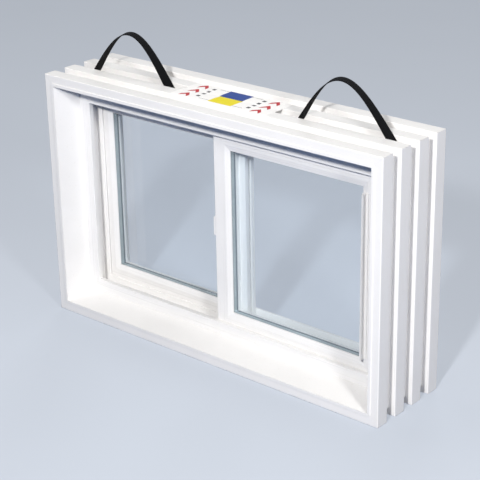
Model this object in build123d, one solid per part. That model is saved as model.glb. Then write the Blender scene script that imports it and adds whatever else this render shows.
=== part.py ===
from build123d import *
import math
import os

# A sliding window in a ribbed frame that is cast into a concrete wall. Millimetres.
# +X runs along the width, the room side faces -Y, +Z is up.
# The origin is the middle of the underside.

# Wall frame
frame_width = 864.0
frame_height = 542.0
frame_depth = 203.0
rib_count = 4
rib_width = 31.0
groove_depth = 15.0
flange_face = 24.0
reveal_taper = 16.0
unit_seat_sink = 6.0
rib_round = 1.5

# Trim bead round the room side of the opening
trim_width = 7.0
trim_proud = 1.5
trim_corner_radius = 8.0
trim_round = 1.2

# Window unit set into the wall frame
unit_depth = 82.5
unit_base = 10.5
track_depth = 22.5
front_leg = 11.75
divider_leg = 4.0
divider_drop = 6.0
rear_leg = 5.5
rear_leg_rise = 15.0
track_rail_width = 3.0
track_rail_height = 5.0
leg_round = 1.2

# Sashes
sash_face = 41.0
sash_thickness = 28.0
sash_lift = 0.5
sash_head_play = 11.5
sliding_side_play = 8.5
fixed_side_play = 0.5
sash_overlap = 54.0
leg_play = 0.5
divider_play = 1.5
bead_width = 18.0
bead_thickness = 5.0
bead_slope = 2.6
bead_flat = 6.0
glass_bite = 12.0
unit_glass_thickness = 19.0
pane_thickness = 3.0
spacer_width = 11.0
edge_block = 3.0
sash_round = 1.0
bead_round = 0.6
track_groove_width = 8.0
track_groove_depth = 6.0

# Hooks that lock the two meeting stiles together
hook_wall = 1.5
hook_reach = 12.0
hook_lap = 4.0
hook_end_play = 2.0

# Glides and blocks under the sashes
glide_length = 40.0
glide_width = 7.4
glide_inset = 60.0

# Latch and pull on the sliding sash
latch_height = 43.0
latch_proud = 5.5
latch_depth = 13.0
latch_centre_height = 275.0
latch_round = 3.8
latch_setback = 1.2
pull_foot_gap = 43.0
pull_head_gap = 52.0
pull_proud = 12.5
pull_wall = 3.0
pull_tip = 5.0
pull_base_width = 14.0
pull_base_thickness = 2.0
pull_inset = 1.5

# Lifting straps and label on top
strap_thickness = 1.6
strap_side_play = 0.5
strap_rise = 89.0
strap_span = 200.0
strap_inset = 58.5
strap_turn = 20.0
left_strap_lean = 0.0
right_strap_lean = -7.0
strap_stations = 28
strap_step = 0.002
label_length = 246.0
label_shift = -5.0
label_thickness = 0.4
label_edge = 1.5
label_corner = 4.0

# Sizes worked out from the ones above
half_depth = frame_depth / 2
body_front = -half_depth + trim_proud
body_back = half_depth
rib_pitch = (body_back - body_front - rib_width) / (rib_count - 1)
groove_width = rib_pitch - rib_width
unit_front = -unit_depth / 2
unit_back = unit_depth / 2
shoulder = flange_face + reveal_taper
seat = shoulder - unit_seat_sink
track_floor = seat + unit_base
leg_tip = track_floor + track_depth
sliding_face = unit_front + front_leg + leg_play
divider_front = sliding_face + sash_thickness + divider_play
fixed_face = divider_front + divider_leg + divider_play
fixed_back = fixed_face + sash_thickness
sash_bottom = track_floor + track_rail_height + sash_lift
sash_top = frame_height - track_floor - sash_head_play
sash_height = sash_top - sash_bottom
pull_length = sash_height - pull_foot_gap - pull_head_gap
sliding_left = -sash_overlap / 2
sliding_right = frame_width / 2 - track_floor - sliding_side_play
fixed_left = -frame_width / 2 + track_floor + fixed_side_play
fixed_right = sash_overlap / 2
rib_starts = [body_front + i * rib_pitch for i in range(rib_count)]
groove_starts = [start + rib_width for start in rib_starts[:-1]]
strap_width = groove_width - 2 * strap_side_play
strap_centre = frame_width / 2 - strap_inset - strap_span / 2


# A flat section drawn as depth and distance inward from the outer edge
section_plane = Plane(origin=(0, 0, 0), x_dir=(0, 1, 0), z_dir=(1, 0, 0))


def outline(points):
    return make_face(Polyline(*points, close=True))


def bar(depth_from, depth_to, inward_from, inward_to):
    width = depth_to - depth_from
    height = inward_to - inward_from
    return Pos((depth_from + depth_to) / 2, (inward_from + inward_to) / 2) * Rectangle(width, height)


def corners_at(section, inward):
    return [v for v in section.vertices() if abs(v.Y - inward) < 0.01]


def corners_on(section, points):
    return [v for v in section.vertices() if (round(v.X, 3), round(v.Y, 3)) in points]


def mitred_length(section, run, reach):
    """One length of a section along X with both ends cut at 45 degrees."""
    length = extrude(section_plane * section, run / 2, both=True)
    half = run / 2
    ends = outline([(-half, 0), (half, 0), (half - reach, reach), (reach - half, reach)])
    return length & extrude(Plane.XZ * ends, frame_depth, both=True)


def four_sides(section, width, height, reach, middle, base, face=0.0):
    """The bottom, top, left and right lengths of a mitred frame."""
    across = mitred_length(section, width, reach)
    upright = mitred_length(section, height, reach)
    mid_height = base + height / 2
    bottom = Pos(middle, face, base) * across
    top = Pos(middle, face, base + height) * Rot(0, 180, 0) * across
    left = Pos(middle - width / 2, face, mid_height) * Rot(0, 90, 0) * upright
    right = Pos(middle + width / 2, face, mid_height) * Rot(0, -90, 0) * upright
    return bottom, top, left, right


def wall_frame_section():
    body = outline([
        (body_front, 0),
        (body_back, 0),
        (body_back, flange_face),
        (unit_back, shoulder),
        (unit_back, seat),
        (unit_front, seat),
        (unit_front, shoulder),
        (body_front, flange_face),
    ])
    for start in groove_starts:
        body -= bar(start, start + groove_width, 0, groove_depth)
    return fillet(corners_at(body, 0), rib_round)


def wall_frame():
    return four_sides(wall_frame_section(), frame_width, frame_height, shoulder, 0, 0)


def front_trim():
    opening_width = frame_width - 2 * flange_face
    opening_height = frame_height - 2 * flange_face
    outer = RectangleRounded(opening_width + 2 * trim_width, opening_height + 2 * trim_width,
                             trim_corner_radius)
    ring = outer - Rectangle(opening_width, opening_height)
    trim = extrude(Plane.XZ * ring, trim_proud)
    front = trim.faces().sort_by(Axis.Y)[0]
    trim = fillet(front.outer_wire().edges(), trim_round)
    return Pos(0, body_front, frame_height / 2) * trim


def unit_section():
    floor = unit_base
    tips = [leg_tip - seat, leg_tip - seat - divider_drop, leg_tip - seat + rear_leg_rise]
    section = bar(unit_front, unit_back, 0, floor)
    section += bar(unit_front, unit_front + front_leg, floor, tips[0])
    section += bar(divider_front, divider_front + divider_leg, floor, tips[1])
    section += bar(unit_back - rear_leg, unit_back, floor, tips[2])
    for face in (sliding_face, fixed_face):
        middle = face + sash_thickness / 2
        half = track_rail_width / 2
        section += bar(middle - half, middle + half, floor, floor + track_rail_height)
    ends = [v for tip in tips for v in corners_at(section, tip)]
    return fillet(ends, leg_round)


def unit_frame():
    width = frame_width - 2 * seat
    height = frame_height - 2 * seat
    reach = leg_tip - seat + rear_leg_rise
    return four_sides(unit_section(), width, height, reach, 0, seat)


def sash_section():
    pocket_back = bead_thickness + unit_glass_thickness
    pocket = sash_face - glass_bite - edge_block
    bead_foot = sash_face - bead_width
    section = outline([
        (0, 0),
        (sash_thickness, 0),
        (sash_thickness, sash_face),
        (pocket_back, sash_face),
        (pocket_back, pocket),
        (bead_thickness, pocket),
        (bead_thickness, bead_foot),
        (0, bead_foot),
    ])
    middle = sash_thickness / 2
    half = track_groove_width / 2
    section -= bar(middle - half, middle + half, 0, track_groove_depth)
    arrises = [(0, 0), (sash_thickness, 0), (sash_thickness, sash_face)]
    return fillet(corners_on(section, arrises), sash_round)


def sash(left, right, face):
    width = right - left
    return four_sides(sash_section(), width, sash_height, sash_face, (left + right) / 2,
                      sash_bottom, face)


def bead_section():
    foot = sash_face - bead_width
    section = outline([
        (0, foot),
        (bead_thickness, foot),
        (bead_thickness, sash_face),
        (bead_slope, sash_face),
        (0, foot + bead_flat),
    ])
    return fillet(corners_on(section, [(bead_slope, sash_face), (0, foot + bead_flat)]), bead_round)


def beads(left, right, face):
    return four_sides(bead_section(), right - left, sash_height, sash_face,
                      (left + right) / 2, sash_bottom, face)


def glass_size(left, right):
    inset = sash_face - glass_bite
    return right - left - 2 * inset, sash_height - 2 * inset


def panes(left, right, face):
    width, height = glass_size(left, right)
    middle = Pos((left + right) / 2, 0, sash_bottom + sash_height / 2)
    first = face + bead_thickness + pane_thickness / 2
    last = face + bead_thickness + unit_glass_thickness - pane_thickness / 2
    return [middle * Pos(0, y, 0) * Box(width, pane_thickness, height) for y in (first, last)]


def spacer(left, right, face):
    width, height = glass_size(left, right)
    depth = unit_glass_thickness - 2 * pane_thickness
    outer = Rectangle(width, height)
    inner = Rectangle(width - 2 * spacer_width, height - 2 * spacer_width)
    ring = extrude(Plane.XZ * (outer - inner), depth / 2, both=True)
    middle_y = face + bead_thickness + unit_glass_thickness / 2
    return Pos((left + right) / 2, middle_y, sash_bottom + sash_height / 2) * ring


def hook(root_x, root_y, way):
    """An upright hook that stands off a meeting stile; way is +1 for the sliding sash."""
    gap = fixed_face - (sliding_face + sash_thickness)
    stand = gap - hook_wall
    low = leg_tip + hook_end_play
    high = frame_height - leg_tip - hook_end_play
    lap = hook_reach + hook_lap / 2
    leg = outline([
        (0, 0),
        (0, stand),
        (lap, stand),
        (lap, stand - hook_wall),
        (hook_wall, stand - hook_wall),
        (hook_wall, 0),
    ])
    if way < 0:
        leg = Rot(0, 0, 180) * leg
    return Pos(root_x, root_y, low) * extrude(leg, high - low)


def sliding_meeting_stile(stile):
    return stile + hook(-hook_reach, sliding_face + sash_thickness, 1)


def fixed_meeting_stile(stile):
    return stile + hook(hook_reach, fixed_face, -1)


def glides(left, right, face):
    top = sash_bottom + track_groove_depth
    low = track_floor + track_rail_height
    height = top - low
    middle_y = face + sash_thickness / 2
    places = (left + glide_inset, right - glide_inset)
    return [Pos(x, middle_y, low + height / 2) * Box(glide_length, glide_width, height)
            for x in places]


def latch():
    body = Box(latch_proud, latch_depth, latch_height)
    body = fillet(body.edges().filter_by(Axis.Y).sort_by(Axis.X)[:2], latch_round)
    nose_x = sliding_left - latch_proud / 2
    nose_y = sliding_face + latch_depth / 2 + latch_setback
    return Pos(nose_x, nose_y, latch_centre_height) * body


def pull():
    """A finger rail along the closing stile, with a rounded front edge."""
    base = Pos(0, -pull_base_thickness / 2) * Rectangle(pull_base_width, pull_base_thickness)
    web = Pos(0, -pull_proud / 2) * Rectangle(pull_wall, pull_proud)
    tip = Pos(0, -pull_proud + pull_tip / 2) * Circle(pull_tip / 2)
    rail = extrude(base + web + tip, pull_length / 2, both=True)
    x = sliding_right - sash_face + pull_base_width / 2 + pull_inset
    return Pos(x, sliding_face, sash_bottom + pull_foot_gap + pull_length / 2) * rail


def strap_point(part, lean):
    """Middle of the strap, part running from 0 at one foot to 1 at the other."""
    angle = math.pi * part
    x = strap_span * (part - 0.5) + lean * math.sin(angle)
    z = strap_rise * math.sin(angle)
    return Vector(x, 0, z)


def strap(middle_x, lean):
    """A band that stands up from the middle groove and ends square on the groove's floor."""
    below = groove_depth + strap_width
    over = below / (strap_rise * math.pi)
    sections = []
    for i in range(strap_stations + 1):
        part = -over + (1 + 2 * over) * i / strap_stations
        centre = strap_point(part, lean)
        run = (strap_point(part + strap_step, lean) - centre).normalized()
        turn = math.radians(strap_turn) * max(math.sin(math.pi * part), 0)
        width_way = Vector(-math.sin(turn), math.cos(turn), 0)
        normal = width_way.cross(run).cross(width_way)
        plane = Plane(origin=centre, x_dir=width_way, z_dir=normal)
        sections.append(plane * Rectangle(strap_width, strap_thickness))
    band = loft(sections, ruled=True)
    reach = strap_rise + groove_depth + strap_width
    above_floor = Pos(0, 0, reach / 2 - groove_depth) * Box(2 * strap_span, frame_depth, reach)
    middle_y = groove_starts[1] + groove_width / 2
    return Pos(middle_x, middle_y, frame_height) * (band & above_floor)


def top_label():
    low = rib_starts[1] + label_edge
    high = rib_starts[2] + rib_width - label_edge
    sheet = extrude(RectangleRounded(label_length, high - low, label_corner), label_thickness)
    return Pos(label_shift, (low + high) / 2, frame_height) * sheet


def pieces():
    out = {}
    names = ("sill", "head", "left_jamb", "right_jamb")
    for name, piece in zip(names, wall_frame()):
        out["wall_frame_" + name] = piece
    out["front_trim_bead"] = front_trim()
    for name, piece in zip(names, unit_frame()):
        out["unit_" + name] = piece
    bottom, top, left, right = sash(fixed_left, fixed_right, fixed_face)
    out["fixed_sash_bottom_rail"] = bottom
    out["fixed_sash_top_rail"] = top
    out["fixed_sash_outer_stile"] = left
    out["fixed_sash_meeting_stile"] = fixed_meeting_stile(right)
    bottom, top, left, right = sash(sliding_left, sliding_right, sliding_face)
    out["sliding_sash_bottom_rail"] = bottom
    out["sliding_sash_top_rail"] = top
    out["sliding_sash_meeting_stile"] = sliding_meeting_stile(left)
    out["sliding_sash_closing_stile"] = right
    for name, left, right, face in (("fixed", fixed_left, fixed_right, fixed_face),
                                    ("sliding", sliding_left, sliding_right, sliding_face)):
        out[name + "_glazing_beads"] = Compound(children=list(beads(left, right, face)))
        out[name + "_panes"] = Compound(children=panes(left, right, face))
        out[name + "_spacer_bar"] = spacer(left, right, face)
        out[name + "_sash_glides"] = Compound(children=glides(left, right, face))
    out["sash_latch"] = latch()
    out["sash_pull_rail"] = pull()
    out["left_lifting_strap"] = strap(-strap_centre, left_strap_lean)
    out["right_lifting_strap"] = strap(strap_centre, right_strap_lean)
    out["top_label"] = top_label()
    return out


os.makedirs("parts", exist_ok=True)
for name, shape in pieces().items():
    export_step(shape, "parts/" + name + ".step")
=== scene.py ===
import math

import bmesh
import bpy
from bpy.props import FloatProperty, FloatVectorProperty, PointerProperty
from mathutils import Matrix, Vector


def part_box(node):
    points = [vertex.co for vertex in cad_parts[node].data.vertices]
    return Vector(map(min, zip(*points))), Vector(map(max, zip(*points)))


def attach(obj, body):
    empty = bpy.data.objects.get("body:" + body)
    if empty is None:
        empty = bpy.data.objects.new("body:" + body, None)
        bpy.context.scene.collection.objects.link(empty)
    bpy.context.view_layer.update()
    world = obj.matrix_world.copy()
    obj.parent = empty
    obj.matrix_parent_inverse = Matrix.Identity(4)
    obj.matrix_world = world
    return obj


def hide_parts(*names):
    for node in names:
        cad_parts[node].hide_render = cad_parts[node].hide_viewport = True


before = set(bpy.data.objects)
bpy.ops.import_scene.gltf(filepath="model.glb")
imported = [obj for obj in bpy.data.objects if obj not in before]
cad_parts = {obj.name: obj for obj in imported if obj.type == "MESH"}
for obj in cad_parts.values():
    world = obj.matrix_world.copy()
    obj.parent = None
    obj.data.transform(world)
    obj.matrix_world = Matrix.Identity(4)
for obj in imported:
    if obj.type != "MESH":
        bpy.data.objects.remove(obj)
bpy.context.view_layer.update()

bl_info = {
    "name": "Ribbed basement window dressing",
    "version": (1, 0, 0),
    "blender": (4, 5, 0),
    "location": "View3D > Sidebar > Window",
    "description": "Finishes a sliding window in a ribbed cast-in frame and sets up its studio",
    "category": "Object",
}

MM = 0.001

# A Mix node's sockets share their names, so they are found by place: two inputs and one output
VECTOR_A, VECTOR_B, VECTOR_OUT = 4, 5, 1
COLOUR_A, COLOUR_B, COLOUR_OUT = 6, 7, 2

# Vinyl parts by the frame that they belong to. A sash's two rails run its full width, and they
# come first.
WALL_FRAME = ["wall_frame_sill", "wall_frame_head", "wall_frame_left_jamb", "wall_frame_right_jamb",
              "front_trim_bead"]
UNIT_FRAME = ["unit_sill", "unit_head", "unit_left_jamb", "unit_right_jamb"]
FIXED_SASH = ["fixed_sash_bottom_rail", "fixed_sash_top_rail", "fixed_sash_outer_stile",
              "fixed_sash_meeting_stile", "fixed_glazing_beads"]
SLIDING_SASH = ["sliding_sash_bottom_rail", "sliding_sash_top_rail", "sliding_sash_meeting_stile",
                "sliding_sash_closing_stile", "sliding_glazing_beads"]
SASH_FITTINGS = ["sash_latch", "sash_pull_rail"]
SATIN, GLOSSIER = 0.42, 0.3

# What is printed on the label, in millimetres from the middle of the window's top: boxes as ink,
# left, right, near and far side, then rows and columns of chevrons and of small squares
LABEL_BOXES = (("blue", -35, 24, 2, 38), ("yellow", -33, 26, -37, 2),
               ("dark", -60, -35, 33.4, 34.6), ("dark", 24, 52, 33.4, 34.6),
               ("dark", -60, -33, -32.6, -31.4), ("dark", 26, 52, -32.6, -31.4))
CHEVRON_COLUMNS, CHEVRON_ROWS = (-98, 87), (29.5, 0.5, -28.5)
CHEVRON_WIDTH, CHEVRON_HEIGHT, CHEVRON_BAND = 22, 24, 11
SQUARE_COLUMNS, SQUARE_ROWS, SQUARE_SIZE = (-70, 60), (27, 10, -5, -22), 8
INKS = {"blue": "#1B3D88", "yellow": "#E6D60C", "red": "#B5161F", "dark": "#4A4548"}
# Faces of the label's sheet are this wide, and its top lies this far under the CAD label's top,
# in millimetres
LABEL_STEP, LABEL_DROP = 2.0, 0.1

# Camera that was fitted to the photograph: lens and sensor in millimetres, place and reach in
# metres
CAMERA_LENS, CAMERA_SENSOR = 110.57, 36
CAMERA_PLACE = (1.8197, -2.1053, 1.4112)
CAMERA_RIGHT = Vector((0.7636, 0.6455, -0.0175))
CAMERA_DOWN = Vector((0.2379, -0.3064, -0.9217))
CAMERA_FORWARD = Vector((-0.6003, 0.6996, -0.3875))
CAMERA_REACH = 60

# Disk lamps: direction from the window's middle, distance and width in metres, and tint
WINDOW_MIDDLE = Vector((0, 0, 0.27))
LAMPS = {
    "front": ((0.42, -1.0, 0.65), 4.6, 0.34, (1.0, 0.985, 0.97)),
    "side": ((2.1, -1.0, 1.0), 4.0, 0.6, (1.0, 0.985, 0.97)),
    "overhead": ((-0.18, 0.0, 1.0), 2.2, 0.9, (1.0, 0.99, 0.97)),
}
# The back light comes from one direction everywhere, spread over an angle as by a large window
BACK_DIRECTION, BACK_DISTANCE, BACK_TINT = (-0.6, 1.0, 0.28), 3.0, (1.0, 0.99, 0.98)
BACK_SPREAD = math.radians(24)
SKY_TINT, SKY_STRENGTH = (0.86, 0.9, 1.0, 1), 0.02
# Half the floor's width in metres, and how far it lies under the sill so that the two don't mix
FLOOR_REACH, FLOOR_DROP = 14, 0.4 * MM


def linear(hex_colour):
    """Turn an sRGB hex value into the linear colour that a shader takes."""
    parts = [int(hex_colour[i:i + 2], 16) / 255 for i in (1, 3, 5)]
    return tuple(p / 12.92 if p <= 0.04045 else ((p + 0.055) / 1.055) ** 2.4 for p in parts)


def rgba(shade, part=1.0):
    """A linear colour with full alpha, made darker or lighter by one factor."""
    return (*(c * part for c in shade[:3]), 1.0)


def colour(name, description, hex_colour):
    return FloatVectorProperty(name=name, description=description, subtype="COLOR", size=3,
                               min=0, max=1, default=linear(hex_colour))


def length(name, description, value):
    return FloatProperty(name=name, description=description, default=value, unit="LENGTH",
                         precision=5)


class WindowSizes(bpy.types.PropertyGroup):
    strap_width: length("Strap width", "Width of the lifting webbing", 24.8 * MM)
    strap_thickness: length("Strap thickness", "Thickness of the lifting webbing", 1.6 * MM)
    strap_span: length("Strap span", "From foot to foot at the top of the frame", 200 * MM)
    strap_turn: FloatProperty(name="Strap turn", description="Twist of the webbing at its crown",
                              default=math.radians(20), subtype="ANGLE")
    left_strap_lean: length("Left strap lean", "Sideways lean of the left strap's top", 0)
    right_strap_lean: length("Right strap lean", "Sideways lean of the right strap's top", -7 * MM)
    strap_play: length("Strap play", "Gap on each side of a strap's foot in its groove", 0.5 * MM)
    groove_depth: length("Groove depth", "Depth of the grooves between the ribs", 15 * MM)
    label_thickness: length("Label thickness", "Thickness of the label's stock", 0.25 * MM)
    label_sag: length("Label sag", "How far the label hangs into the groove under it", 0.7 * MM)
    label_corner: length("Label corner", "Radius of the label's cut corners", 4 * MM)


class WindowFinishes(bpy.types.PropertyGroup):
    frame_vinyl: colour("Frame vinyl", "Satin white of the ribbed wall frame", "#E8E7E6")
    sash_vinyl: colour("Sash vinyl", "Glossier white of tracks and sashes", "#EAE9E8")
    webbing: colour("Webbing", "Black nylon of the lifting straps", "#0A0A0C")


class WindowStudio(bpy.types.PropertyGroup):
    floor: colour("Floor", "Pale floor and backdrop", "#CCD3DE")
    bounce: colour("Bounce", "Light that the floor sends back up", "#4C6188")
    glow: FloatProperty(name="Floor glow", description="Share of the floor's look that is even",
                        default=0.6, min=0, max=1, subtype="FACTOR")
    front: FloatProperty(name="Front lamp", description="Power of the main lamp at the front",
                         default=199, min=0, unit="POWER")
    side: FloatProperty(name="Side lamp", description="Power of the lamp at the upper right",
                        default=87, min=0, unit="POWER")
    overhead: FloatProperty(name="Overhead lamp", description="Power of the soft lamp above",
                            default=13, min=0, unit="POWER")
    back: FloatProperty(name="Back light", description="Watts per square metre from low behind",
                        default=1.7, min=0)


def add(tree, kind, inputs=(), **settings):
    """Add one node, set its properties, and fill or link its inputs."""
    made = tree.nodes.new(kind)
    for key, value in settings.items():
        setattr(made, key, value)
    for key, value in dict(inputs).items():
        if isinstance(value, bpy.types.NodeSocket):
            tree.links.new(value, made.inputs[key])
        else:
            made.inputs[key].default_value = value
    return made


def new_material(name):
    material = bpy.data.materials.new(name)
    material.use_nodes = True
    material.node_tree.nodes.clear()
    return material, material.node_tree


def finish_surface(tree, shader):
    add(tree, "ShaderNodeOutputMaterial", {"Surface": shader})


def give(names, material):
    """Make one material the only one of each named CAD node."""
    for name in names:
        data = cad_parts[name].data
        data.materials.clear()
        data.materials.append(material)


def rigid_vinyl(name, shade, low, high, roughness):
    """Extruded rigid PVC, white with titanium dioxide, hot-plate welded at the corners.

    The die leaves faint lines along each length, and the cooling a soft orange peel, so a
    highlight runs along the length and breaks up a little. Each welded corner shows a fine line.
    low and high are the corners of the frame or sash, whose diagonals are the welds."""
    material, tree = new_material(name)
    middle = (Vector(low) + Vector(high)) / 2
    half = (Vector(high) - Vector(low)) / 2
    place = add(tree, "ShaderNodeTexCoord").outputs["Object"]
    split = add(tree, "ShaderNodeSeparateXYZ", {0: place})
    margins = []
    for i, axis in ((0, "X"), (2, "Z")):
        away = add(tree, "ShaderNodeMath", {0: split.outputs[axis], 1: middle[i]},
                   operation="SUBTRACT")
        size = add(tree, "ShaderNodeMath", {0: away.outputs[0]}, operation="ABSOLUTE")
        margins.append(add(tree, "ShaderNodeMath", {0: half[i], 1: size.outputs[0]},
                           operation="SUBTRACT").outputs[0])
    upright = add(tree, "ShaderNodeMath", {0: margins[0], 1: margins[1]}, operation="LESS_THAN")
    apart = add(tree, "ShaderNodeMath", {0: margins[0], 1: margins[1]}, operation="SUBTRACT")
    off_weld = add(tree, "ShaderNodeMath", {0: apart.outputs[0]}, operation="ABSOLUTE")
    # The weld's line is full to 0.25 mm off its middle and gone at 0.8 mm
    weld = add(tree, "ShaderNodeMapRange",
               {"Value": off_weld.outputs[0], "From Min": 0.25 * MM, "From Max": 0.8 * MM,
                "To Min": 1.0, "To Max": 0.0}, interpolation_type="SMOOTHSTEP")
    # Die lines: 2.5 mm apart across the length and about 400 mm long, drawn wider than real
    fine, drawn_out = 400, 2.5
    along_x = add(tree, "ShaderNodeMapping", {"Vector": place, "Scale": (drawn_out, fine, fine)})
    along_z = add(tree, "ShaderNodeMapping", {"Vector": place, "Scale": (fine, fine, drawn_out)})
    run = add(tree, "ShaderNodeMix", {"Factor": upright.outputs[0], VECTOR_A: along_x.outputs[0],
                                      VECTOR_B: along_z.outputs[0]}, data_type="VECTOR")
    lines = add(tree, "ShaderNodeTexNoise", {"Vector": run.outputs[VECTOR_OUT], "Scale": 1.0,
                                             "Detail": 2.0, "Roughness": 0.55})
    # Orange peel of 2.4 mm, clouds of 110 mm in the white, and specks of dust of 6 mm
    peel = add(tree, "ShaderNodeTexNoise", {"Vector": place, "Scale": 420.0, "Detail": 1.0})
    cloud = add(tree, "ShaderNodeTexNoise", {"Vector": place, "Scale": 9.0, "Detail": 3.0,
                                             "Roughness": 0.6})
    speck = add(tree, "ShaderNodeTexNoise", {"Vector": place, "Scale": 160.0, "Detail": 4.0,
                                             "Roughness": 0.7})
    dust = add(tree, "ShaderNodeMapRange",
               {"Value": speck.outputs[0], "From Min": 0.62, "From Max": 0.74, "To Min": 0.0,
                "To Max": 0.35})
    shades = add(tree, "ShaderNodeValToRGB", {"Fac": cloud.outputs[0]})
    dull, clean = shades.color_ramp.elements
    dull.position, dull.color = 0.3, rgba(shade, 0.955)
    clean.position, clean.color = 0.7, rgba(shade)
    dusty = add(tree, "ShaderNodeMix", {"Factor": dust.outputs[0], COLOUR_A: shades.outputs[0],
                                        COLOUR_B: rgba(linear("#C9C6BF"))}, data_type="RGBA")
    welded = add(tree, "ShaderNodeMix",
                 {"Factor": weld.outputs[0], COLOUR_A: dusty.outputs[COLOUR_OUT],
                  COLOUR_B: rgba(shade, 0.94)}, data_type="RGBA")
    sheen = add(tree, "ShaderNodeMapRange",
                {"Value": lines.outputs[0], "From Min": 0.3, "From Max": 0.7,
                 "To Min": roughness - 0.05, "To Max": roughness + 0.07})
    rounded = add(tree, "ShaderNodeBevel", {"Radius": 0.7 * MM}, samples=4)
    skin = add(tree, "ShaderNodeBump", {"Height": peel.outputs[0], "Distance": 0.03 * MM,
                                        "Strength": 0.5, "Normal": rounded.outputs[0]})
    drawn = add(tree, "ShaderNodeBump", {"Height": lines.outputs[0], "Distance": 0.02 * MM,
                                         "Strength": 0.4, "Normal": skin.outputs[0]})
    seam = add(tree, "ShaderNodeBump", {"Height": weld.outputs[0], "Distance": 0.06 * MM,
                                        "Strength": 0.25, "Normal": drawn.outputs[0]}, invert=True)
    shader = add(tree, "ShaderNodeBsdfPrincipled",
                 {"Base Color": welded.outputs[COLOUR_OUT], "Roughness": sheen.outputs[0],
                  "IOR": 1.53, "Normal": seam.outputs[0]})
    finish_surface(tree, shader.outputs[0])
    return material


def float_glass():
    """Clear 3 mm float glass: flat, polished by fire on tin, with the green of a little iron."""
    material, tree = new_material("float_glass_clear")
    place = add(tree, "ShaderNodeTexCoord").outputs["Object"]
    # Roller wave: about 140 mm apart and far too shallow to see straight on
    wave = add(tree, "ShaderNodeTexNoise", {"Vector": place, "Scale": 7.0, "Detail": 0.0})
    bump = add(tree, "ShaderNodeBump", {"Height": wave.outputs[0], "Distance": 0.15 * MM,
                                        "Strength": 0.3})
    # Wiping leaves a thin haze in patches of about 70 mm
    smear = add(tree, "ShaderNodeTexNoise", {"Vector": place, "Scale": 14.0, "Detail": 4.0})
    haze = add(tree, "ShaderNodeMapRange", {"Value": smear.outputs[0], "From Min": 0.45,
                                            "From Max": 0.8, "To Min": 0.0, "To Max": 0.06})
    glass = add(tree, "ShaderNodeBsdfPrincipled",
                {"Base Color": rgba(linear("#F9FBFD")), "Roughness": haze.outputs[0],
                 "IOR": 1.52, "Transmission Weight": 1.0, "Normal": bump.outputs[0]})
    clear = add(tree, "ShaderNodeBsdfTransparent", {"Color": rgba(linear("#FAFCFD"))})
    # Light on its way to a matt surface goes straight through with the panes' tint
    path = add(tree, "ShaderNodeLightPath")
    light = add(tree, "ShaderNodeMath", {0: path.outputs["Is Shadow Ray"],
                                         1: path.outputs["Is Diffuse Ray"]}, operation="MAXIMUM")
    both = add(tree, "ShaderNodeMixShader", {0: light.outputs[0],
                                             1: glass.outputs[0], 2: clear.outputs[0]})
    finish_surface(tree, both.outputs[0])
    return material


def rolled_aluminium(front, back):
    """Roll-formed aluminium spacer strip: dull mill finish with fine rolling lines.

    It lies between y = front and y = back. Grey butyl shows as a hair of it at the front pane
    and as a band at the back pane. That band is drawn wider than the butyl, so it is partly real
    sealant and partly painted shade on the spacer's rear part."""
    material, tree = new_material("rolled_aluminium_spacer")
    # Butyl at the front pane, and a back band that is partly butyl and partly painted shade
    hair, butyl_and_shade_band = 0.4 * MM, 4.5 * MM
    place = add(tree, "ShaderNodeTexCoord").outputs["Object"]
    y = add(tree, "ShaderNodeSeparateXYZ", {0: place}).outputs["Y"]
    # Rolling lines: two thirds of a millimetre apart and about 170 mm long
    rolled = add(tree, "ShaderNodeMapping", {"Vector": place, "Scale": (6, 1500, 6)})
    grain = add(tree, "ShaderNodeTexNoise", {"Vector": rolled.outputs[0], "Scale": 1.0,
                                             "Detail": 3.0})
    near = add(tree, "ShaderNodeMath", {0: y, 1: front + hair}, operation="LESS_THAN")
    far = add(tree, "ShaderNodeMath", {0: y, 1: back - butyl_and_shade_band}, operation="GREATER_THAN")
    seal_and_shade = add(tree, "ShaderNodeMath", {0: near.outputs[0], 1: far.outputs[0]},
               operation="MAXIMUM").outputs[0]
    tone = add(tree, "ShaderNodeMix",
               {"Factor": grain.outputs[0], COLOUR_A: rgba(linear("#939FA4")),
                COLOUR_B: rgba(linear("#B0BABD"))}, data_type="RGBA")
    # Painted shade: the wide back band darkens the spacer's rear part as if it lay in shade
    sealed_and_shaded = add(tree, "ShaderNodeMix", {"Factor": seal_and_shade, COLOUR_A: tone.outputs[COLOUR_OUT],
                                         COLOUR_B: rgba(linear("#667079"))}, data_type="RGBA")
    # The thin grey oxide on the mill finish leaves it less mirror-like than bare metal
    metal = add(tree, "ShaderNodeMath", {0: 0.5, 1: seal_and_shade}, operation="SUBTRACT", use_clamp=True)
    rough = add(tree, "ShaderNodeMapRange", {"Value": grain.outputs[0], "To Min": 0.55,
                                             "To Max": 0.7})
    bump = add(tree, "ShaderNodeBump", {"Height": grain.outputs[0], "Distance": 0.02 * MM,
                                        "Strength": 0.5})
    shader = add(tree, "ShaderNodeBsdfPrincipled",
                 {"Base Color": sealed_and_shaded.outputs[COLOUR_OUT], "Metallic": metal.outputs[0],
                  "Roughness": rough.outputs[0], "Normal": bump.outputs[0]})
    finish_surface(tree, shader.outputs[0])
    return material


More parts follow.
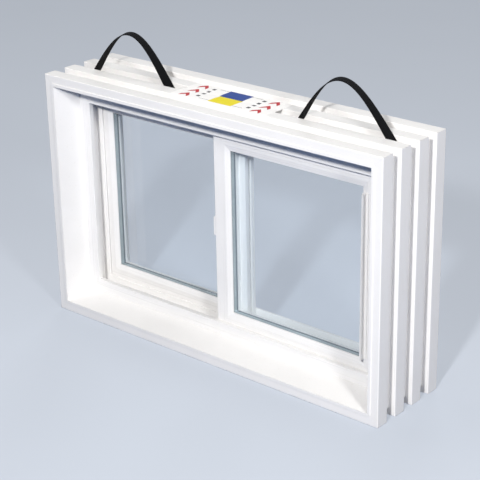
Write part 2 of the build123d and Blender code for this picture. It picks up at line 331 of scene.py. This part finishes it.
def moulded_nylon():
    """Injection-moulded nylon, off-white and slightly waxy, with a fine grain of about 1 mm."""
    material, tree = new_material("moulded_nylon_glide")
    place = add(tree, "ShaderNodeTexCoord").outputs["Object"]
    grain = add(tree, "ShaderNodeTexNoise", {"Vector": place, "Scale": 900.0, "Detail": 2.0})
    tone = add(tree, "ShaderNodeMix",
               {"Factor": grain.outputs[0], COLOUR_A: rgba(linear("#D9D7D0")),
                COLOUR_B: rgba(linear("#E4E2DC"))}, data_type="RGBA")
    bump = add(tree, "ShaderNodeBump", {"Height": grain.outputs[0], "Distance": 0.03 * MM,
                                        "Strength": 0.4})
    shader = add(tree, "ShaderNodeBsdfPrincipled",
                 {"Base Color": tone.outputs[COLOUR_OUT], "Roughness": 0.48, "IOR": 1.53,
                  "Normal": bump.outputs[0]})
    finish_surface(tree, shader.outputs[0])
    return material


def woven_nylon(shade):
    """Woven nylon webbing: a close herringbone of flat yarn, matt with a faint sheen.

    The attribute weave holds each point's place across and along the band, in metres. The
    weave's low parts are painted darker: painted shade in the hollows between the yarns."""
    material, tree = new_material("woven_nylon_webbing")
    thread = add(tree, "ShaderNodeAttribute", attribute_name="weave")
    split = add(tree, "ShaderNodeSeparateXYZ", {0: thread.outputs["Vector"]})
    across, along = split.outputs["X"], split.outputs["Y"]
    # The weave repeats every 1.25 mm across and 2 mm along, and its slant turns every 5 mm
    repeat_across, repeat_along, slant_width = 1.25 * MM, 2.0 * MM, 5.0 * MM
    warp = add(tree, "ShaderNodeMath", {0: across, 1: 2 * math.pi / repeat_across},
               operation="MULTIPLY")
    side = add(tree, "ShaderNodeMath", {0: across, 1: slant_width}, operation="PINGPONG")
    lean = add(tree, "ShaderNodeMath", {0: side.outputs[0], 1: along}, operation="ADD")
    weft = add(tree, "ShaderNodeMath", {0: lean.outputs[0], 1: 2 * math.pi / repeat_along},
               operation="MULTIPLY")
    warp_wave = add(tree, "ShaderNodeMath", {0: warp.outputs[0]}, operation="SINE")
    weft_wave = add(tree, "ShaderNodeMath", {0: weft.outputs[0]}, operation="SINE")
    height = add(tree, "ShaderNodeMath", {0: warp_wave.outputs[0], 1: weft_wave.outputs[0]},
                 operation="MULTIPLY")
    level = add(tree, "ShaderNodeMapRange", {"Value": height.outputs[0], "From Min": -1.0,
                                             "From Max": 1.0})
    place = add(tree, "ShaderNodeTexCoord").outputs["Object"]
    fuzz = add(tree, "ShaderNodeTexNoise", {"Vector": place, "Scale": 1400.0, "Detail": 2.0})
    # Painted shade: the colour follows the weave's height, down to 0.45 of the webbing's colour in
    # its hollows
    tone = add(tree, "ShaderNodeMix", {"Factor": level.outputs[0], COLOUR_A: rgba(shade, 0.45),
                                       COLOUR_B: rgba(shade)}, data_type="RGBA")
    worn = add(tree, "ShaderNodeMix",
               {"Factor": fuzz.outputs[0], COLOUR_A: tone.outputs[COLOUR_OUT],
                COLOUR_B: rgba(shade, 1.3)}, data_type="RGBA")
    bump = add(tree, "ShaderNodeBump", {"Height": level.outputs[0], "Distance": 0.35 * MM,
                                        "Strength": 0.8})
    shader = add(tree, "ShaderNodeBsdfPrincipled",
                 {"Base Color": worn.outputs[COLOUR_OUT], "Roughness": 0.8, "IOR": 1.53,
                  "Specular IOR Level": 0.06, "Sheen Weight": 0.01, "Sheen Roughness": 0.5,
                  "Normal": bump.outputs[0]})
    finish_surface(tree, shader.outputs[0])
    return material


def printed_sheet(name, hex_colour, roughness):
    """Coated label stock with solid ink: smooth, a little glossy, with the paper's faint tooth."""
    material, tree = new_material(name)
    place = add(tree, "ShaderNodeTexCoord").outputs["Object"]
    fibre = add(tree, "ShaderNodeTexNoise", {"Vector": place, "Scale": 700.0, "Detail": 3.0})
    shade = linear(hex_colour)
    tone = add(tree, "ShaderNodeMix", {"Factor": fibre.outputs[0], COLOUR_A: rgba(shade, 0.9),
                                       COLOUR_B: rgba(shade)}, data_type="RGBA")
    bump = add(tree, "ShaderNodeBump", {"Height": fibre.outputs[0], "Distance": 0.02 * MM,
                                        "Strength": 0.4})
    shader = add(tree, "ShaderNodeBsdfPrincipled",
                 {"Base Color": tone.outputs[COLOUR_OUT], "Roughness": roughness, "IOR": 1.5,
                  "Specular IOR Level": 0.3, "Normal": bump.outputs[0]})
    finish_surface(tree, shader.outputs[0])
    return material


def seen_directly(tree):
    """One for rays that show a surface to the eye: straight, mirrored or through glass.

    A ray that has met a matt surface on its way only carries light, so it counts as zero."""
    path = add(tree, "ShaderNodeLightPath")
    seen = path.outputs["Is Camera Ray"]
    for way in ("Is Glossy Ray", "Is Transmission Ray"):
        seen = add(tree, "ShaderNodeMath", {0: seen, 1: path.outputs[way]},
                   operation="MAXIMUM").outputs[0]
    fresh = add(tree, "ShaderNodeMath", {0: path.outputs["Diffuse Depth"], 1: 0.5},
                operation="LESS_THAN")
    return add(tree, "ShaderNodeMath", {0: seen, 1: fresh.outputs[0]},
               operation="MULTIPLY").outputs[0]


def studio_floor(shade, bounce, glow):
    """Matt backdrop paper that glows a little by itself, so that it stays pale far from the lamps,
    and that sends only a cool, weak light back up to the window."""
    material, tree = new_material("matt_paper_backdrop")
    place = add(tree, "ShaderNodeTexCoord").outputs["Object"]
    grain = add(tree, "ShaderNodeTexNoise", {"Vector": place, "Scale": 3.0, "Detail": 2.0})
    tone = add(tree, "ShaderNodeMix", {"Factor": grain.outputs[0], COLOUR_A: rgba(shade, 0.98),
                                       COLOUR_B: rgba(shade)}, data_type="RGBA")
    paper = add(tree, "ShaderNodeBsdfDiffuse", {"Color": tone.outputs[COLOUR_OUT]})
    light = add(tree, "ShaderNodeEmission", {"Color": tone.outputs[COLOUR_OUT], "Strength": 1.0})
    shown = add(tree, "ShaderNodeMixShader", {0: glow, 1: paper.outputs[0], 2: light.outputs[0]})
    back = add(tree, "ShaderNodeBsdfDiffuse", {"Color": rgba(bounce)})
    both = add(tree, "ShaderNodeMixShader", {0: seen_directly(tree), 1: back.outputs[0],
                                             2: shown.outputs[0]})
    finish_surface(tree, both.outputs[0])
    return material


def new_object(name, data):
    made = bpy.data.objects.new(name, data)
    bpy.context.scene.collection.objects.link(made)
    return made


def freeze(source, name):
    """Turn a piece with live Geometry Nodes into a plain mesh object of its own."""
    graph = bpy.context.evaluated_depsgraph_get()
    mesh = bpy.data.meshes.new_from_object(source.evaluated_get(graph))
    piece = new_object(name, mesh)
    mesh.name = name
    bpy.data.objects.remove(source)
    return piece


class WINDOW_OT_vinyl(bpy.types.Operator):
    """Give the frame, tracks, sashes, latch and pull their rigid vinyl, and the glides nylon"""
    bl_idname = "window.finish_vinyl"
    bl_label = "Finish Vinyl"

    def execute(self, context):
        looks = context.scene.window_finishes
        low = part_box("wall_frame_left_jamb")[0]
        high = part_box("wall_frame_right_jamb")[1]
        give(WALL_FRAME, rigid_vinyl("rigid_vinyl_wall_frame", looks.frame_vinyl, low, high, SATIN))
        tracks = rigid_vinyl("rigid_vinyl_tracks", looks.sash_vinyl, low, high, GLOSSIER)
        give(UNIT_FRAME + SASH_FITTINGS, tracks)
        for names, side in ((FIXED_SASH, "fixed"), (SLIDING_SASH, "sliding")):
            rails = [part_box(name) for name in names[:2]]
            low = Vector((min(b[0].x for b in rails), 0, min(b[0].z for b in rails)))
            high = Vector((max(b[1].x for b in rails), 0, max(b[1].z for b in rails)))
            give(names, rigid_vinyl("rigid_vinyl_%s_sash" % side, looks.sash_vinyl, low, high,
                                    GLOSSIER))
        give(["fixed_sash_glides", "sliding_sash_glides"], moulded_nylon())
        return {"FINISHED"}


class WINDOW_OT_glazing(bpy.types.Operator):
    """Give the panes and spacer bars their glass and rolled metal"""
    bl_idname = "window.finish_glazing"
    bl_label = "Finish Glazing"

    def execute(self, context):
        give(["fixed_panes", "sliding_panes"], float_glass())
        for name in ("fixed_spacer_bar", "sliding_spacer_bar"):
            low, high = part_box(name)
            give([name], rolled_aluminium(low.y, high.y))
        return {"FINISHED"}


def strap_route(middle, rise, lean, sizes):
    """Points of a strap's middle line and the way that its width points, foot to foot.

    The line is half a sine wave, carried on at both ends to the bottom of the groove."""
    over = math.asin(sizes.groove_depth / rise) / math.pi
    count = 48
    points = []
    for i in range(count + 1):
        part = -over + (1 + 2 * over) * i / count
        swell = math.sin(math.pi * part)
        place = middle + Vector((sizes.strap_span * (part - 0.5) + lean * swell, 0, rise * swell))
        turn = sizes.strap_turn * max(swell, 0)
        points.append((place, Vector((-math.sin(turn), math.cos(turn), 0))))
    return points


def strap_tree(material):
    """Geometry Nodes that sweep a flat band with round edges along a route and keep its weave."""
    tree = bpy.data.node_groups.new("webbing_sweep", "GeometryNodeTree")
    face = tree.interface
    face.new_socket("Geometry", in_out="OUTPUT", socket_type="NodeSocketGeometry")
    face.new_socket("Geometry", in_out="INPUT", socket_type="NodeSocketGeometry")
    for name in ("Width", "Thickness"):
        face.new_socket(name, in_out="INPUT", socket_type="NodeSocketFloat")
    given = add(tree, "NodeGroupInput")
    way = add(tree, "GeometryNodeInputNamedAttribute", {"Name": "width_way"},
              data_type="FLOAT_VECTOR")
    route = add(tree, "GeometryNodeMeshToCurve", {"Mesh": given.outputs["Geometry"]})
    turned = add(tree, "GeometryNodeSetCurveNormal",
                 {"Curve": route.outputs[0], "Normal": way.outputs[0]}, mode="FREE")
    along = add(tree, "GeometryNodeSplineParameter")
    kept = add(tree, "GeometryNodeCaptureAttribute", {0: turned.outputs[0]}, domain="POINT")
    kept.capture_items.new("FLOAT", "along")
    tree.links.new(along.outputs["Length"], kept.inputs[1])
    edge = add(tree, "GeometryNodeCurvePrimitiveQuadrilateral",
               {"Width": given.outputs["Width"], "Height": given.outputs["Thickness"]})
    # Just under half the thickness, so that the rounded corners never meet
    edge_radius = add(tree, "ShaderNodeMath", {0: given.outputs["Thickness"], 1: 0.45},
                      operation="MULTIPLY")
    section = add(tree, "GeometryNodeFilletCurve",
                  {"Curve": edge.outputs[0], "Radius": edge_radius.outputs[0], "Count": 3},
                  mode="POLY")
    spot = add(tree, "GeometryNodeInputPosition")
    parts = add(tree, "ShaderNodeSeparateXYZ", {0: spot.outputs[0]})
    flat = add(tree, "GeometryNodeCaptureAttribute", {0: section.outputs[0]}, domain="POINT")
    flat.capture_items.new("FLOAT", "across")
    tree.links.new(parts.outputs["X"], flat.inputs[1])
    swept = add(tree, "GeometryNodeCurveToMesh", {"Curve": kept.outputs[0],
                                                  "Profile Curve": flat.outputs[0],
                                                  "Fill Caps": True})
    weave = add(tree, "ShaderNodeCombineXYZ", {0: flat.outputs[1], 1: kept.outputs[1]})
    stored = add(tree, "GeometryNodeStoreNamedAttribute",
                 {"Geometry": swept.outputs[0], "Name": "weave", "Value": weave.outputs[0]},
                 data_type="FLOAT_VECTOR", domain="POINT")
    real = add(tree, "GeometryNodeRealizeInstances", {0: stored.outputs[0]})
    painted = add(tree, "GeometryNodeSetMaterial", {0: real.outputs[0], "Material": material})
    add(tree, "NodeGroupOutput", {0: painted.outputs[0]})
    return tree


def set_inputs(modifier, tree, values):
    """Fill a Geometry Nodes modifier's inputs by their identifiers."""
    for item in tree.interface.items_tree:
        if item.item_type == "SOCKET" and item.in_out == "INPUT" and item.name in values:
            modifier[item.identifier] = values[item.name]


class WINDOW_OT_straps(bpy.types.Operator):
    """Sweep the two lifting straps of woven webbing"""
    bl_idname = "window.make_straps"
    bl_label = "Make Lifting Straps"

    def execute(self, context):
        sizes = context.scene.window_sizes
        tree = strap_tree(woven_nylon(context.scene.window_finishes.webbing))
        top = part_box("wall_frame_head")[1].z
        for side, lean in (("left", sizes.left_strap_lean), ("right", sizes.right_strap_lean)):
            node = side + "_lifting_strap"
            low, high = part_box(node)
            middle = Vector(((low.x + high.x) / 2, (low.y + high.y) / 2, top))
            rise = high.z - top - sizes.strap_thickness / 2
            route = strap_route(middle, rise, lean, sizes)
            mesh = bpy.data.meshes.new(node + "_route")
            mesh.from_pydata([place for place, _ in route],
                             [(i, i + 1) for i in range(len(route) - 1)], [])
            ways = mesh.attributes.new("width_way", "FLOAT_VECTOR", "POINT")
            for i, (_, way) in enumerate(route):
                ways.data[i].vector = way
            carrier = new_object(node + "_route", mesh)
            sweep = carrier.modifiers.new("webbing_sweep", "NODES")
            sweep.node_group = tree
            set_inputs(sweep, tree, {"Width": sizes.strap_width,
                                     "Thickness": sizes.strap_thickness})
            strap = freeze(carrier, side + "_strap_webbing")
            for polygon in strap.data.polygons:
                polygon.use_smooth = True
            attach(strap, "root")
            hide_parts(node)
        return {"FINISHED"}


def box_outline(left, right, near, far):
    return [(left, near), (right, near), (right, far), (left, far)]


def chevron_outlines(x, y):
    """The two slanting bands of one chevron that points away from the room."""
    half, foot, tip = CHEVRON_WIDTH / 2, y - CHEVRON_HEIGHT / 2, y + CHEVRON_HEIGHT / 2
    return ([(x - half, foot), (x, tip - CHEVRON_BAND), (x, tip), (x - half, foot + CHEVRON_BAND)],
            [(x + half, foot), (x + half, foot + CHEVRON_BAND), (x, tip), (x, tip - CHEVRON_BAND)])


def label_print():
    """The label's printed shapes, as pairs of an ink and a convex outline."""
    shapes = [(ink, box_outline(*sides)) for ink, *sides in LABEL_BOXES]
    for x in CHEVRON_COLUMNS:
        for y in CHEVRON_ROWS:
            shapes += [("red", outline) for outline in chevron_outlines(x, y)]
    half = SQUARE_SIZE / 2
    for x in SQUARE_COLUMNS:
        for y in SQUARE_ROWS:
            shapes.append(("dark", box_outline(x - half, x + half, y - half, y + half)))
    return shapes


def sides_of(outline):
    return zip(outline, outline[1:] + outline[:1])


def flat_sheet(left, right, near, far):
    """A level grid of faces about LABEL_STEP wide."""
    sheet = bmesh.new()
    across = int((right - left) / LABEL_STEP)
    deep = int((far - near) / LABEL_STEP)
    grid = [[sheet.verts.new((left + (right - left) * i / across,
                              near + (far - near) * j / deep, 0))
             for j in range(deep + 1)] for i in range(across + 1)]
    for i in range(across):
        for j in range(deep):
            sheet.faces.new((grid[i][j], grid[i + 1][j], grid[i + 1][j + 1], grid[i][j + 1]))
    return sheet


def cut_outline(sheet, outline):
    """Cut the faces round an outline along its sides, so that ink can end there."""
    xs, ys = [x for x, _ in outline], [y for _, y in outline]
    for a, b in sides_of(outline):
        way = Vector((b[0] - a[0], b[1] - a[1], 0)).normalized()
        faces = []
        for face in sheet.faces:
            spot = face.calc_center_median()
            if (min(xs) - LABEL_STEP < spot.x < max(xs) + LABEL_STEP
                    and min(ys) - LABEL_STEP < spot.y < max(ys) + LABEL_STEP):
                faces.append(face)
        edges = list({e for f in faces for e in f.edges})
        verts = list({v for f in faces for v in f.verts})
        bmesh.ops.bisect_plane(sheet, geom=faces + edges + verts, dist=1e-4, plane_co=(*a, 0),
                               plane_no=(way.y, -way.x, 0))


def holds(outline, spot):
    """Whether a spot lies in a convex outline, whichever way round its corners run."""
    turns = [(b[0] - a[0]) * (spot.y - a[1]) - (b[1] - a[1]) * (spot.x - a[0])
             for a, b in sides_of(outline)]
    return min(turns) > 0 or max(turns) < 0


def drape(sheet, left, right, near, far, level, sizes):
    """Round the sheet's corners and let it sag a little into the groove under it."""
    sag, corner = sizes.label_sag / MM, sizes.label_corner / MM
    # The straps' feet fill the same groove but for their play
    foot_low, foot_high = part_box("left_lifting_strap")
    groove_near = (foot_low.y - sizes.strap_play) / MM
    groove_far = (foot_high.y + sizes.strap_play) / MM
    middle = Vector(((left + right) / 2, (near + far) / 2))
    for vertex in sheet.verts:
        away = vertex.co.xy - middle
        over = Vector((abs(away.x) - (right - left) / 2 + corner,
                       abs(away.y) - (far - near) / 2 + corner))
        if min(over) > 0 and over.length > corner:
            cut = over - over.normalized() * corner
            vertex.co.x -= math.copysign(cut.x, away.x)
            vertex.co.y -= math.copysign(cut.y, away.y)
        part = (vertex.co.y - groove_near) / (groove_far - groove_near)
        dip = sag * math.sin(math.pi * part) ** 2 if 0 < part < 1 else 0
        vertex.co.z = level - dip


class WINDOW_OT_label(bpy.types.Operator):
    """Lay the printed label across the two middle ribs of the head"""
    bl_idname = "window.make_label"
    bl_label = "Make Label"

    def execute(self, context):
        sizes = context.scene.window_sizes
        low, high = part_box("top_label")
        materials = [printed_sheet("coated_label_paper", "#F7F6F5", 0.5)]
        materials += [printed_sheet("printed_%s_ink" % ink, hex_colour, 0.45)
                      for ink, hex_colour in INKS.items()]
        order = ["paper", *INKS]
        shapes = label_print()
        borders = [v / MM for v in (low.x, high.x, low.y, high.y)]
        sheet = flat_sheet(*borders)
        for _, outline in shapes:
            cut_outline(sheet, outline)
        for face in sheet.faces:
            for ink, outline in shapes:
                if holds(outline, face.calc_center_median()):
                    face.material_index = order.index(ink)
        drape(sheet, *borders, high.z / MM - LABEL_DROP, sizes)
        sheet.transform(Matrix.Scale(MM, 4))
        mesh = bpy.data.meshes.new("printed_label")
        sheet.to_mesh(mesh)
        sheet.free()
        for material in materials:
            mesh.materials.append(material)
        label = new_object("printed_label", mesh)
        thick = label.modifiers.new("thickness", "SOLIDIFY")
        thick.thickness = sizes.label_thickness
        thick.offset = -1
        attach(label, "root")
        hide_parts("top_label")
        return {"FINISHED"}


def lamp(name, kind, direction, distance, power, tint):
    """Add a lamp that looks at the window's middle and that neither eye nor panes see."""
    data = bpy.data.lights.new(name, kind)
    data.energy = power
    data.color = tint
    made = new_object(name, data)
    away = Vector(direction).normalized()
    made.location = WINDOW_MIDDLE + away * distance
    made.rotation_mode = "QUATERNION"
    made.rotation_quaternion = away.to_track_quat("Z", "Y")
    made.visible_camera = made.visible_transmission = False
    return made


class WINDOW_OT_studio(bpy.types.Operator):
    """Set up the floor, lamps, surroundings and camera"""
    bl_idname = "window.make_studio"
    bl_label = "Make Studio"

    def execute(self, context):
        studio = context.scene.window_studio
        scene = context.scene
        scene.view_settings.view_transform = "Standard"
        ground = bmesh.new()
        bmesh.ops.create_grid(ground, x_segments=4, y_segments=4, size=FLOOR_REACH)
        mesh = bpy.data.meshes.new("studio_floor")
        ground.to_mesh(mesh)
        ground.free()
        mesh.transform(Matrix.Translation((0, 0, -FLOOR_DROP)))
        mesh.materials.append(studio_floor(studio.floor, studio.bounce, studio.glow))
        floor = new_object("studio_floor", mesh)
        for name, (direction, distance, width, tint) in LAMPS.items():
            power = getattr(studio, name)
            disk = lamp(name + "_lamp", "AREA", direction, distance, power, tint)
            disk.data.shape = "DISK"
            disk.data.size = width
        behind = lamp("back_light", "SUN", BACK_DIRECTION, BACK_DISTANCE, studio.back, BACK_TINT)
        behind.data.angle = BACK_SPREAD
        behind.visible_glossy = False
        world = bpy.data.worlds.new("soft_surroundings")
        world.use_nodes = True
        tree = world.node_tree
        tree.nodes.clear()
        light = add(tree, "ShaderNodeBackground", {"Color": SKY_TINT, "Strength": SKY_STRENGTH})
        shown = add(tree, "ShaderNodeBackground", {"Color": rgba(studio.floor), "Strength": 1.0})
        both = add(tree, "ShaderNodeMixShader", {0: seen_directly(tree), 1: light.outputs[0],
                                                 2: shown.outputs[0]})
        add(tree, "ShaderNodeOutputWorld", {0: both.outputs[0]})
        scene.world = world
        data = bpy.data.cameras.new("photo_camera")
        data.sensor_width = CAMERA_SENSOR
        data.lens = CAMERA_LENS
        data.clip_end = CAMERA_REACH
        camera = new_object("photo_camera", data)
        turn = Matrix((CAMERA_RIGHT, -CAMERA_DOWN, -CAMERA_FORWARD)).transposed()
        camera.matrix_world = Matrix.Translation(CAMERA_PLACE) @ turn.to_4x4()
        scene.camera = camera
        return {"FINISHED"}


class WINDOW_PT_dressing(bpy.types.Panel):
    """Lists the sizes, finishes, studio and pieces of the window"""
    bl_idname = "WINDOW_PT_dressing"
    bl_label = "Window Dressing"
    bl_space_type = "VIEW_3D"
    bl_region_type = "UI"
    bl_category = "Window"

    def draw(self, context):
        scene = context.scene
        for group in (scene.window_sizes, scene.window_finishes, scene.window_studio):
            for key in group.__annotations__:
                self.layout.prop(group, key)
        for operator in OPERATORS:
            self.layout.operator(operator.bl_idname)


GROUPS = (WindowSizes, WindowFinishes, WindowStudio)
OPERATORS = (WINDOW_OT_vinyl, WINDOW_OT_glazing, WINDOW_OT_straps, WINDOW_OT_label,
             WINDOW_OT_studio)


def register():
    for item in (*GROUPS, *OPERATORS, WINDOW_PT_dressing):
        bpy.utils.register_class(item)
    bpy.types.Scene.window_sizes = PointerProperty(type=WindowSizes)
    bpy.types.Scene.window_finishes = PointerProperty(type=WindowFinishes)
    bpy.types.Scene.window_studio = PointerProperty(type=WindowStudio)


def unregister():
    del bpy.types.Scene.window_studio
    del bpy.types.Scene.window_finishes
    del bpy.types.Scene.window_sizes
    for item in reversed((*GROUPS, *OPERATORS, WINDOW_PT_dressing)):
        bpy.utils.unregister_class(item)


def main():
    register()
    bpy.ops.window.finish_vinyl()
    bpy.ops.window.finish_glazing()
    bpy.ops.window.make_straps()
    bpy.ops.window.make_label()
    bpy.ops.window.make_studio()


if __name__ == "__main__":
    main()
